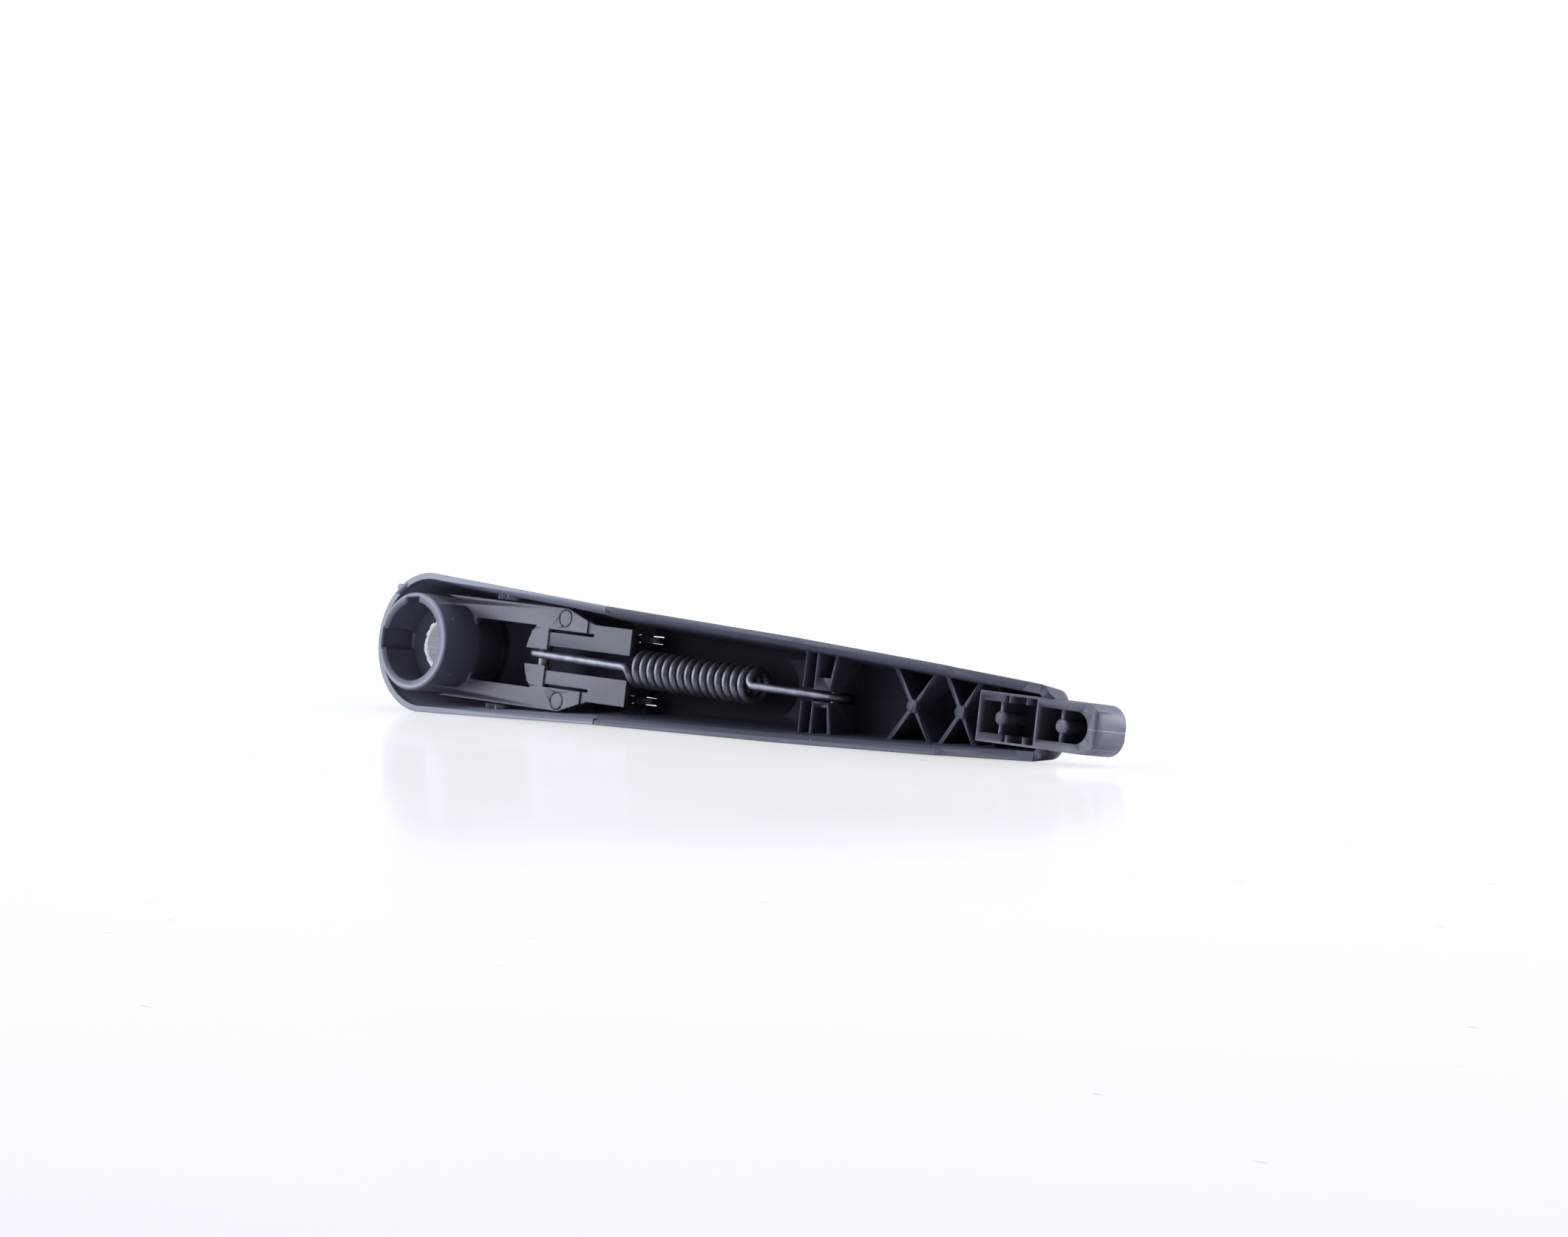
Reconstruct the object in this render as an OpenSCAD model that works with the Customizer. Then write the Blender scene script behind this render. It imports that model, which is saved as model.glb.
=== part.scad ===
// Rear wiper arm with a flip-up cover cap, seen from its open underside.
// Frame: origin in the middle of the spindle bore, +X along the arm to the tip,
// +Y from the open underside to the outer crown, +Z across the arm. Depths count from the rim.

/* [Outline] */
// Radius of the round end of the cap, at the rim
cap_end_r = 17.4; // [16.8:0.1:18.5]
// Half width of the arm where it meets the cap, at the rim
arm_start_w = 14.4; // [14.2:0.1:15.2]
// Half width of the arm over the anchor ribs, at the rim
arm_mid_w = 12.4; // [12:0.1:13]
// Half width of the arm over the second crossed rib, at the rim
arm_far_w = 10.4; // [10:0.1:11]
// Half width of the arm at the tip, before its round corners, at the rim
arm_tip_w = 8.8; // [8.4:0.1:9.6]
// Distance from the hub axis to the end of the rim at the tip
arm_end = 206.3; // [204:0.1:209]
// Depth from the rim to the crown, over the hub
crown_h = 20; // [19.5:0.1:22]
// How much lower the crown is at the tip than over the hub
crown_fall = 6.6; // [6:0.1:7]
// Draft angle of the side walls
draft = 7; // [5:0.25:7.5]
// Radius of the rounded edge between wall and crown
crown_edge_r = 4; // [3:0.25:5]
// Radius of the crown where it rolls down at the tip
tip_roll_r = 11; // [9:0.5:11.5]
// Radius of the plan corners at the tip
tip_corner_r = 4; // [3:0.25:5]

/* [Cap] */
// Wall thickness of the cap
cap_wall = 1.5; // [1.2:0.1:1.7]
// Thickness of the small guide ribs inside the cap
guide_rib_t = 0.6; // [0.4:0.1:1]
// Distance from the hub axis to the first guide rib
guide_rib_at = 20.3; // [16:0.1:26]
// Spacing of the two guide ribs
guide_rib_pitch = 3.2; // [2:0.1:5]
// Radius of the small moulding nub on the rim
nub_r = 0.9; // [0.5:0.1:1.2]
// Angle round the cap's end where the nub stands
nub_angle = 132; // [110:1:150]
// Thickness of the two hinge ears of the cap
cap_ear_t = 1.5; // [1.2:0.1:1.6]
// Length of the ears' root under the cap's crown, from the hinge pin
cap_ear_len = 17; // [14:0.5:20]

/* [Head] */
// Outer radius of the hub collar
collar_r = 12.2; // [11.8:0.1:12.6]
// Inner radius of the hub collar
collar_bore_r = 9.9; // [9.2:0.1:10.4]
// Height of the collar's mouth above the rim
collar_proud = 4.5; // [3:0.1:6]
// Chamfer on the collar's outer edges
mouth_edge = 0.5; // [0.2:0.1:0.8]
// Width of the keyways inside the collar
keyway_w = 4.7; // [3:0.1:5.5]
// Depth of the keyways into the collar's wall
keyway_depth = 1.1; // [0.6:0.1:1.2]
// Depth of the head's plate below the rim
plate_y = 6.25; // [5.5:0.05:7]
// Thickness of the head's plate
plate_t = 2.2; // [1.8:0.1:2.5]
// Gap between the head's plate and the cap's wall, beside the hub
plate_gap = 2.5; // [2.2:0.1:2.8]
// Gap between the plate's narrow end and the walls beside it
plate_end_gap = 2.7; // [2.2:0.1:3.2]
// Distance from the hub axis to where the plate starts to narrow
plate_taper_at = 43.5; // [42:0.1:46]
// Length over which the plate narrows
plate_taper_len = 9.4; // [7:0.1:11]
// Depth of the low step at the plate's narrow end
plate_step = 0.4; // [0.2:0.05:0.6]
// Width of the thin slots between the plate and the cheeks
side_slot_w = 0.75; // [0.5:0.05:1]
// Distance from the hub axis to the ejector marks
ejector_at = 42.8; // [41:0.1:44]
// Distance of the ejector marks from the centre line
ejector_side = 10.2; // [9.9:0.05:10.3]
// Radius of the ejector marks
ejector_r = 2.3; // [1.6:0.05:2.3]
// Half width of the window in the plate
window_w = 7.7; // [6:0.1:8.5]
// Radius of the window's corners beside the hub
window_corner_r = 1.2; // [0.6:0.1:1.6]
// Distance from the hub axis to the far corners of the window
window_end = 32.9; // [32:0.1:34]
// Radius of the concave far side of the window
window_arc_r = 11.1; // [10:0.1:13]
// Distance from the hub axis to the near end of the spring slot
slot_start = 29.8; // [29:0.1:30]
// Half width of the spring slot at its near end
slot_w = 1.95; // [1.8:0.05:2.3]
// Distance from the hub axis to the step where the slot opens out
slot_step = 37.3; // [37:0.1:39]
// Thickness of the two cheeks beside the spring
cheek_t = 3.4; // [3:0.1:3.5]
// Half width of the gap between the two cheeks
cheek_gap_w = 3; // [2.7:0.1:3.1]
// Depth of the spindle insert's front face below the rim
insert_y = 5.5; // [5:0.1:6]
// Length of the spindle insert
insert_len = 7.5; // [6.5:0.1:7.7]
// Outer radius of the spindle insert
insert_r = 7.6; // [7.2:0.1:8.2]
// Radius of the spindle insert's bore
insert_bore_r = 5.5; // [4.5:0.1:6]
// Chamfer at the mouth of the spindle insert
insert_chamfer = 0.6; // [0.3:0.05:1]
// Thickness of the spindle insert's back flange
insert_flange_t = 0.8; // [0.5:0.1:1.2]
// Radius of the nut recess behind the insert
nut_recess_r = 9.2; // [9:0.1:10.5]
// Depth of the nut recess behind the insert
nut_recess_depth = 2.5; // [1.5:0.1:3]

/* [Hinge] */
// Distance from the hub axis to the hinge pin
hinge_at = 63; // [62:0.1:64]
// Distance from the crown's outer face down to the hinge pin
hinge_below_crown = 4; // [3.8:0.05:4.3]
// Radius of the hinge pin
hinge_pin_r = 1.5; // [1.3:0.05:1.7]
// Radial running clearance of the hinge pin
hinge_play = 0.05; // [0.03:0.01:0.08]
// Radius of the cheeks and ears around the hinge pin
knuckle_r = 2.7; // [2.5:0.05:2.8]
// Gap between the cap and the arm
seam = 0.4; // [0.35:0.05:0.5]
// Largest angle that the arm lifts through
arm_swing = 50; // [30:5:50]
// Largest angle that the cap flips through
cap_swing = 50; // [30:5:50]

/* [Arm] */
// Wall thickness of the arm
arm_wall = 2.2; // [2:0.1:2.4]
// Width of the outer lip of the stepped rim
rim_lip = 1.1; // [0.8:0.1:1.4]
// Depth of the step in the rim
rim_step = 0.6; // [0.3:0.1:1]
// Distance from the hub axis to where the rim drops towards the tip
rim_drop_at = 174; // [172:0.5:178]
// Depth of that drop
rim_drop = 0.6; // [0.3:0.1:0.9]
// Length of the slope of that drop
rim_drop_len = 3; // [1:0.5:5]
// Depth of the ribs below the rim
rib_y = 5.5; // [4.5:0.1:6]
// Thickness of the crossed ribs
rib_t = 1.15; // [0.9:0.05:1.5]
// Distance from the hub axis to the first crossing
cross_first = 161; // [158:0.1:163]
// Spacing of the crossings
cross_pitch = 14.8; // [14:0.1:15.2]
// Length of the first crossed rib along the arm
cross_len = 12.6; // [11:0.1:13]
// How much shorter each next crossed rib is
cross_len_step = 1.4; // [1:0.1:1.6]
// Half width over which a crossed rib has its length
cross_side = 8; // [7:0.1:9]
// Radius of the round boss at each crossing
cross_boss_r = 1.6; // [1.2:0.1:1.8]
// Height of the boss above the crossed ribs
cross_boss_proud = 0.5; // [0.1:0.05:0.8]
// Distance from the hub axis to the cross wall
wall_at = 126; // [125:0.1:127]
// Thickness of the cross wall
wall_t = 0.9; // [0.7:0.1:1.2]
// Thickness of the legs of the anchor ribs
anchor_leg_t = 1; // [0.8:0.1:1.2]
// Distance from the anchor pin to each leg of the anchor ribs
anchor_leg_at = 2.3; // [2:0.1:2.6]
// How far the second leg leans out towards the wall
anchor_leg_lean = 1.8; // [0:0.1:3]
// Width of the block that holds the wide end of the anchor pin
anchor_block_w = 3; // [2.4:0.1:3.4]
// Width of the block that holds the narrow end of the anchor pin
anchor_block_thin = 1.2; // [1:0.05:1.5]
// Length of the plate beside the cross wall, with a round cut-out
gusset_len = 10.8; // [8:0.1:12]
// Thickness of the plate beside the cross wall
gusset_t = 1.2; // [0.8:0.1:1.6]
// Radius of the round cut-out that the coil's end lies in
gusset_cut_r = 6.8; // [6:0.1:7]

/* [Spring] */
// Diameter of the spring wire
wire_d = 2; // [1.8:0.1:2.1]
// Outer diameter of the coil
coil_d = 9.4; // [8.8:0.1:9.6]
// Number of turns of the coil
coil_turns = 16; // [14:1:17]
// Distance from the hub axis to the start of the coil
coil_start = 68.5; // [68:0.1:72]
// Distance from the hub axis to the end of the coil
coil_end = 109; // [106:0.1:110]
// Depth of the spring's axis below the rim
spring_y = 8.1; // [7.9:0.05:8.3]
// Distance from the hub axis to the pin that holds the spring in the head
hook_pin_at = 33.8; // [33.6:0.05:34]
// Distance from the hub axis to the pin that holds the spring in the arm
anchor_pin_at = 132; // [131.8:0.05:132.2]
// Radius of both spring pins
spring_pin_r = 1.4; // [1.2:0.05:1.45]
// Depth of the wire below the rim where it passes the pin in the head
head_hook_y = 6.6; // [6.4:0.1:7.2]
// Gap between the spring's hooks and their pins
hook_play = 0.15; // [0.1:0.05:0.2]
// Radius of the bends between the coil and its straight ends
wire_bend_r = 2; // [1.6:0.1:2.5]
// Side offset of the hook in the head
hook_side = 0.7; // [0.3:0.05:0.8]
// Side offset of the hook in the arm
anchor_side = -0.5; // [-0.7:0.05:-0.3]

/* [Adapter] */
// Distance from the hub axis to the adapter's inner end
adapter_start = 184.5; // [184:0.1:185.5]
// Length of the adapter
adapter_len = 36; // [35:0.1:37]
// Half width of the adapter
adapter_w = 5.75; // [5.4:0.05:5.9]
// Depth of the adapter's face below the rim
adapter_y = 1.5; // [1:0.1:2]
// Thickness of the adapter
adapter_t = 8.9; // [8:0.1:9.2]
// Radius of the adapter's nose corners
nose_r = 4.6; // [3.5:0.1:5]
// Half width of the adapter's pockets
pocket_w = 3.65; // [3.2:0.05:3.8]
// Depth of the adapter's pockets
pocket_depth = 7.6; // [6:0.1:7.6]
// Thickness of the adapter's end wall and dividers
divider_t = 0.9; // [0.7:0.1:1.2]
// Thickness of the thin outer wall beside the side notches
notch_wall = 0.55; // [0.4:0.05:0.8]
// Depth of the side notches
notch_depth = 3.2; // [2:0.1:4]
// Distance from the adapter's inner end to the side notches
notch_at = 7.4; // [7:0.1:8]
// Distances from the adapter's inner end to the middle pocket's far wall
pocket_wall_at = 17.1; // [16:0.1:18]
// Distance from the adapter's inner end to the first divider
divider_first = 6.8; // [5:0.1:6.9]
// Distance from the adapter's inner end to the last divider
divider_last = 24.8; // [23:0.1:27]
// Thickness of the adapter's nose, from the last pocket to the end
nose_t = 3.5; // [2.5:0.1:4]
// Radius on the edge of the nose
nose_edge = 1.8; // [0.8:0.1:2.4]
// Radius of the round boss on each divider
divider_boss_r = 1.55; // [1.2:0.05:1.8]

/* [Hidden] */
tiny = 0.01;
cap_facets = 72;
edge_steps = 6;
tip_steps = 6;
wire_sides = 6;
turn_rings = 12;
dome = 0.5;
mid_at = 127;
far_at = 172;
tip_start = arm_end - tip_roll_r;
hinge_y = crown_at(hinge_at) - hinge_below_crown;
knuckle_outer_r = hinge_below_crown + dome;
both_swings = arm_swing + cap_swing;
crown_groove = knuckle_outer_r * tan(both_swings / 2) + seam / 2;
ear_slope = 4;
ear_r = hinge_below_crown;
wire_r = wire_d / 2;
cheek_w = cheek_gap_w + cheek_t;
ear_gap = 0.3;
ear_w = cheek_w + ear_gap;
lug_w = ear_w + cap_ear_t + ear_gap;
plate_back = plate_y + plate_t;
plate_w = cap_end_r - plate_y * tan(draft) - cap_wall - plate_gap;
plate_end_w = arm_start_w - plate_y * tan(draft) - cap_wall - plate_end_gap;
insert_back = insert_y + insert_len;
bore_middle = (insert_y + insert_chamfer + insert_back + insert_flange_t) / 2;
boss_back = insert_back + nut_recess_depth;
hook_loop_r = spring_pin_r + hook_play + wire_r;
spring_pin_y = spring_y + hook_loop_r;
head_pin_y = head_hook_y + hook_loop_r;
hook_room = 0.6;
hook_turn = 195;
anchor_room = 0.35;
anchor_reach = 12;
anchor_pin_w = anchor_side + wire_r + anchor_room + anchor_block_w;
anchor_far_w = anchor_side - wire_r - anchor_room;
ring_groove = 0.35;
keyway_angles = [180, 98];
taper_end = plate_taper_at + plate_taper_len;
adapter_end = adapter_start + adapter_len;
divider_at = [adapter_start + divider_first, adapter_start + divider_last];
pocket_wall = adapter_start + pocket_wall_at;
pocket_end = adapter_end - nose_t;
arm_top = [[hinge_at, arm_start_w], [mid_at, arm_mid_w], [far_at, arm_far_w],
           [arm_end - tip_corner_r, arm_tip_w]];
cap_top = [[0, cap_end_r], [hinge_at, arm_start_w]];
beyond = 30;

// Height of the crown's outer face above the rim, at a distance from the hub
function crown_at(u) = crown_h - crown_fall * pow(max(u, 0) / arm_end, 1.6);

// Half section of a moulded shell as [across, depth] points: wall, rounded edge, crown
function shell_half(w, top, edge_r, low) =
    let (cy = top - edge_r, cx = w - cy * tan(draft) - edge_r / cos(draft))
    concat([[w - low * tan(draft), low]],
           [for (i = [0:edge_steps]) let (a = draft + (90 - draft) * i / edge_steps)
               [cx + edge_r * cos(a), cy + edge_r * sin(a)]]);

function mirrored(pts) = [for (i = [len(pts) - 1:-1:0]) [-pts[i][0], pts[i][1]]];

// Half width of the arm at the tip's round corners, inset by t
function corner_w(u, t) =
    let (r = tip_corner_r - min(t, tip_corner_r - 0.5), past = u - (arm_end - t - r))
    past <= 0 ? lookup(u, arm_top) - t
              : lookup(arm_end - tip_corner_r, arm_top) - t - r + sqrt(max(r * r - past * past, 0));

// Height of the crown at the tip's roll, inset by t
function roll_top(u, t) =
    let (r = tip_roll_r - t, past = u - tip_start)
    past <= 0 ? crown_at(u) - t
              : crown_at(tip_start) - tip_roll_r + sqrt(max(r * r - past * past, 0));

// Moves what is drawn with its rim at zero depth to the frame in the middle of the bore
module from_rim() {
    translate([0, -bore_middle, 0]) children();
}

// Stretch across the part along Y, of a shape drawn as [along, across]
module along_y(y0, y1) {
    translate([0, y1, 0]) rotate([90, 0, 0]) linear_extrude(y1 - y0) children();
}

// Stretch across the arm along Z, of a shape drawn as [along, depth], on both sides
module both_sides(z0, z1) {
    translate([0, 0, z0]) linear_extrude(z1 - z0) children();
    translate([0, 0, -z1]) linear_extrude(z1 - z0) children();
}

// Round post or hole along Y
module post(u, v, r, y0, y1) {
    translate([u, y1, v]) rotate([90, 0, 0]) cylinder(r = r, h = y1 - y0, $fn = 48);
}

// Pin or hole across the arm along Z
module cross_pin(u, y, r, z0, z1) {
    translate([u, y, z0]) cylinder(r = r, h = z1 - z0, $fn = 48);
}

// Straight rib between two points, drawn as [along, across]
module strip(p, q, t, ends = 0) {
    d = q - p;
    translate(p) rotate(atan2(d[1], d[0])) translate([-ends, -t / 2]) square([norm(d) + 2 * ends, t]);
}

// Thin slice of a shell, standing across the arm
module slice(u, w, top, edge_r, low) {
    half = shell_half(w, top, edge_r, low);
    translate([u, 0, 0]) rotate([0, 90, 0]) linear_extrude(tiny)
        polygon(concat(half, [[0, top + dome]], mirrored(half)));
}

// Solid outer form of the cap, inset by t, starting at depth low
module cap_form(t, low) {
    edge = crown_edge_r - t;
    hull() {
        rotate([-90, 0, 0]) rotate_extrude($fn = cap_facets)
            polygon(concat([[0, low]], shell_half(cap_end_r - t, crown_h - t, edge, low),
                           [[0, crown_h - t + dome]]));
        for (u = [hinge_at / 2, hinge_at])
            slice(u, lookup(u, cap_top) - t, crown_at(u) - t, edge, low);
    }
}

// Solid outer form of the arm, inset by t, starting at depth low
module arm_form(t, low) {
    edge = crown_edge_r - t;
    hull() {
        for (u = [hinge_at - knuckle_outer_r, hinge_at])
            slice(u, arm_start_w - t, crown_at(u) - t, edge, low);
        for (u = [(hinge_at + mid_at) / 2, mid_at, (mid_at + far_at) / 2, far_at])
            slice(u, lookup(u, arm_top) - t, crown_at(u) - t, edge, low);
        for (i = [0:tip_steps])
            let (u = tip_start + (tip_roll_r - t) * sin(90 * i / tip_steps) - tiny)
            slice(u, corner_w(u, t), roll_top(u, t), min(edge, roll_top(u, t) * 0.6), low);
    }
}

// Side view of the arm's end at the hinge: round knuckle and straight edge below it
module arm_reach() {
    translate([hinge_at, hinge_y]) circle(r = knuckle_outer_r, $fn = 64);
    translate([hinge_at + seam / 2, -beyond]) square([arm_end, 3 * beyond]);
    translate([hinge_at, hinge_y]) square([knuckle_outer_r + beyond, beyond]);
}

// Side view of what is cut from the cap to clear the arm
module cap_cut() {
    translate([hinge_at, hinge_y]) circle(r = knuckle_outer_r + seam, $fn = 64);
    translate([hinge_at - seam / 2, -beyond]) square([beyond, 3 * beyond]);
    translate([hinge_at - crown_groove, hinge_y]) square([beyond, beyond]);
}

// Flip-up cap over the hub nut, with ears that turn on the hinge pin
module cover_cap() color([0.19, 0.19, 0.21]) from_rim() {
    difference() {
        cap_form(0, 0);
        cap_form(cap_wall, -1);
        translate([0, 0, -beyond]) linear_extrude(2 * beyond) cap_cut();
    }
    cap_ears();
    cap_guides();
    post(cap_end_r * cos(nub_angle), cap_end_r * sin(nub_angle), nub_r, 0, cap_wall);
}

// Two plates under the cap's crown that reach back to the hinge pin
module cap_ears() {
    difference() {
        union() {
            both_sides(ear_w, ear_w + cap_ear_t)
                translate([hinge_at, hinge_y]) circle(r = ear_r, $fn = 64);
            intersection() {
                cap_form(cap_wall / 2, 0);
                both_sides(ear_w, ear_w + cap_ear_t)
                    polygon([[hinge_at, hinge_y], [hinge_at, hinge_y - ear_r],
                             [hinge_at - cap_ear_len + 3, hinge_y - 1], [hinge_at - cap_ear_len, crown_h],
                             [hinge_at - crown_groove, crown_h],
                             [hinge_at - crown_groove, hinge_y + crown_groove * tan(ear_slope)]]);
            }
        }
        cross_pin(hinge_at, hinge_y, hinge_pin_r + hinge_play, -beyond, beyond);
    }
}

// Short ribs that keep the cap centred beside the head's plate
module cap_guides() {
    intersection() {
        cap_form(cap_wall / 2, plate_y - plate_t);
        for (u = [guide_rib_at, guide_rib_at + guide_rib_pitch], side = [-1, 1])
            translate([u, plate_y - plate_t, side > 0 ? plate_w + seam : -beyond])
                cube([guide_rib_t, 4 * plate_t, beyond - plate_w - seam]);
    }
}

// Outline of the head's plate, drawn as [along, across]
module plate_outline(nose_end) {
    circle(r = plate_w, $fn = 96);
    polygon([[0, -plate_w], [plate_taper_at, -plate_w], [taper_end, -plate_end_w],
             [nose_end, -plate_end_w], [nose_end, plate_end_w], [taper_end, plate_end_w],
             [plate_taper_at, plate_w], [0, plate_w]]);
}

// Window behind the collar, with round corners beside the hub and sharp ones on its far side
module window_plan() {
    corner_v = window_w - window_corner_r;
    corner_at = collar_r + window_corner_r;
    corner_u = sqrt(corner_at * corner_at - corner_v * corner_v);
    touch_v = corner_v * collar_r / corner_at;
    difference() {
        translate([0, -window_w]) square([window_end, 2 * window_w]);
        circle(r = collar_r - tiny, $fn = 96);
        translate([slot_start + window_arc_r, 0]) circle(r = window_arc_r, $fn = 96);
        for (side = [-1, 1]) difference() {
            translate([0, side > 0 ? touch_v : -window_w - tiny])
                square([corner_u, window_w - touch_v + tiny]);
            translate([corner_u, side * corner_v]) circle(r = window_corner_r, $fn = 48);
        }
    }
}

// Window and the slot that the spring passes through
module plate_openings() {
    window_plan();
    translate([slot_start - 1, -slot_w]) square([slot_step - slot_start + 2, 2 * slot_w]);
    translate([slot_step, -cheek_gap_w]) square([beyond, 2 * cheek_gap_w]);
    for (side = [-1, 1])
        translate([slot_step, side > 0 ? cheek_gap_w : -cheek_w - side_slot_w])
            square([taper_end - slot_step, cheek_t + side_slot_w]);
}

// Moulded head: collar, plate, nut boss and the cheeks that carry both pins
module arm_head() color([0.34, 0.34, 0.37]) from_rim() {
    difference() {
        union() {
            collar_body();
            along_y(plate_y, plate_back) difference() {
                plate_outline(hinge_at + 3);
                plate_openings();
            }
            head_cheeks();
        }
        post(0, 0, collar_bore_r, -collar_proud - 1, insert_y);
        post(0, 0, insert_r, insert_y - 1, insert_back + 1);
        post(0, 0, nut_recess_r, insert_back, boss_back + 1);
        for (a = keyway_angles) rotate([0, -a, 0])
            translate([0, -collar_proud - 1, -keyway_w / 2])
                cube([collar_bore_r + keyway_depth, collar_proud + 1 + insert_y - 0.5, keyway_w]);
        translate([taper_end - plate_t, plate_y - 1, -plate_w]) cube([beyond, 1 + plate_step, 2 * plate_w]);
        for (side = [-1, 1])
            translate([ejector_at, plate_y + ring_groove, side * ejector_side])
                rotate([90, 0, 0]) ring_mark();
        cross_pin(hinge_at, hinge_y, hinge_pin_r + hinge_play, -beyond, beyond);
        cross_pin(hook_pin_at, head_pin_y, spring_pin_r, -beyond, beyond);
    }
}

// Collar with broken edges at its mouth and behind the nut recess
module collar_body() {
    rotate([-90, 0, 0]) rotate_extrude($fn = 96)
        polygon([[0, -collar_proud], [collar_r - mouth_edge, -collar_proud],
                 [collar_r, mouth_edge - collar_proud], [collar_r, boss_back - mouth_edge],
                 [collar_r - mouth_edge, boss_back], [0, boss_back]]);
}

// Shallow round groove left by an ejector in the mould
module ring_mark() {
    difference() {
        cylinder(r = ejector_r, h = 1, $fn = 48);
        translate([0, 0, -1]) cylinder(r = ejector_r - ring_groove, h = 3, $fn = 48);
    }
}

// Two cheeks under the plate, from the spring's pin to the hinge pin
module head_cheeks() {
    pin_wall = 1.4;
    low = plate_back + pin_wall;
    pin_low = head_pin_y + spring_pin_r + pin_wall;
    both_sides(cheek_gap_w, cheek_w) {
        translate([hinge_at, hinge_y]) circle(r = knuckle_r, $fn = 48);
        polygon([[hinge_at + knuckle_r, hinge_y], [hinge_at - knuckle_r, hinge_y],
                 [taper_end + pin_wall, low], [taper_end - 6 * cheek_t / 2 - pin_wall, low],
                 [hook_pin_at + spring_pin_r + pin_wall, pin_low],
                 [hook_pin_at - spring_pin_r - pin_wall, pin_low],
                 [slot_start - 1, plate_back], [slot_start + 1, plate_y + plate_step],
                 [hinge_at + knuckle_r, plate_y + plate_step]]);
    }
}

// Metal bush that seats on the spindle, with a chamfered mouth and a back flange
module spindle_insert() color([0.78, 0.78, 0.8]) from_rim() {
    translate([0, insert_y, 0]) rotate([-90, 0, 0]) difference() {
        union() {
            cylinder(r = insert_r, h = insert_len, $fn = 96);
            translate([0, 0, insert_len]) cylinder(r = nut_recess_r - 0.4, h = insert_flange_t, $fn = 96);
        }
        translate([0, 0, -1]) cylinder(r = insert_bore_r, h = insert_len + 3, $fn = 96);
        translate([0, 0, -tiny])
            cylinder(r1 = insert_bore_r + insert_chamfer, r2 = insert_bore_r, h = insert_chamfer, $fn = 96);
    }
}

// Two straight ribs that cross, drawn as [along, across]
module crossed_ribs(u, len) {
    w = anchor_reach;
    lean = len / 2 * w / cross_side;
    strip([u - lean, w], [u + lean, -w], rib_t);
    strip([u - lean, -w], [u + lean, w], rib_t);
}

// Legs and bar that carry one side of the anchor pin, drawn as [along, across]
module anchor_ribs(inner, outer, reach) {
    near = anchor_pin_at - anchor_leg_at;
    far = anchor_pin_at + anchor_leg_at;
    strip([near, reach], [near, inner], anchor_leg_t);
    strip([far + anchor_leg_lean, reach], [far, inner], anchor_leg_t);
    translate([near - anchor_leg_t / 2, min(inner, outer)])
        square([far - near + anchor_leg_t, abs(outer - inner)]);
}

// Moulded arm: open channel with a stepped rim, crossed ribs and the spring's anchor
module arm_shell() color([0.15, 0.15, 0.17]) from_rim() {
    difference() {
        intersection() {
            arm_form(0, 0);
            translate([0, 0, -beyond]) linear_extrude(2 * beyond) arm_reach();
            union() {
                difference() {
                    translate([hinge_at - 10, 0, -20]) cube([arm_end, beyond, 40]);
                    arm_form(arm_wall, -1);
                    intersection() {
                        arm_form(rim_lip, -1);
                        translate([hinge_at - 10, -1, -20]) cube([arm_end, 1 + rim_step, 40]);
                    }
                }
                arm_ribs();
                arm_lugs();
            }
        }
        hinge_clearance();
        cross_pin(hinge_at, hinge_y, hinge_pin_r, -beyond, beyond);
        cross_pin(anchor_pin_at, spring_pin_y, spring_pin_r, -anchor_pin_w, anchor_pin_w);
        along_y(-1, adapter_y + adapter_t) adapter_plan();
        both_sides(0, cap_end_r)
            polygon([[rim_drop_at, -1], [rim_drop_at, 0], [rim_drop_at + rim_drop_len, rim_drop],
                     [arm_end + 1, rim_drop], [arm_end + 1, -1]]);
    }
}

// Ribs inside the arm, from the cross wall to the tip
module arm_ribs() {
    along_y(rib_y, beyond) {
        for (i = [0:2]) crossed_ribs(cross_first + i * cross_pitch, cross_len - i * cross_len_step);
        difference() {
            translate([wall_at - wall_t / 2, -anchor_reach]) square([wall_t, 2 * anchor_reach]);
            translate([wall_at - wall_t, anchor_side - wire_r - hook_room])
                square([2 * wall_t, wire_d + 2 * hook_room]);
        }
        anchor_ribs(anchor_pin_w - anchor_block_w, anchor_pin_w, anchor_reach);
        anchor_ribs(anchor_far_w, anchor_far_w - anchor_block_thin, -anchor_reach);
    }
    for (i = [0:2])
        post(cross_first + i * cross_pitch, 0, cross_boss_r, rib_y - cross_boss_proud, beyond);
    gusset_y = spring_y + wire_r + hook_room;
    gusset_w = gusset_cut_r + 0.3;
    along_y(gusset_y, gusset_y + gusset_t) difference() {
        translate([wall_at - gusset_len, -gusset_w]) square([gusset_len, 2 * gusset_w]);
        translate([wall_at - gusset_len - 1.4, 0]) circle(r = gusset_cut_r, $fn = 96);
    }
}

// Solid lugs in the arm's walls that hold the ends of the hinge pin
module arm_lugs() {
    both_sides(lug_w, 20) {
        translate([hinge_at, hinge_y]) circle(r = knuckle_r, $fn = 48);
        translate([hinge_at, hinge_y - knuckle_r]) square([2 * knuckle_r, beyond]);
    }
}

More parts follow.
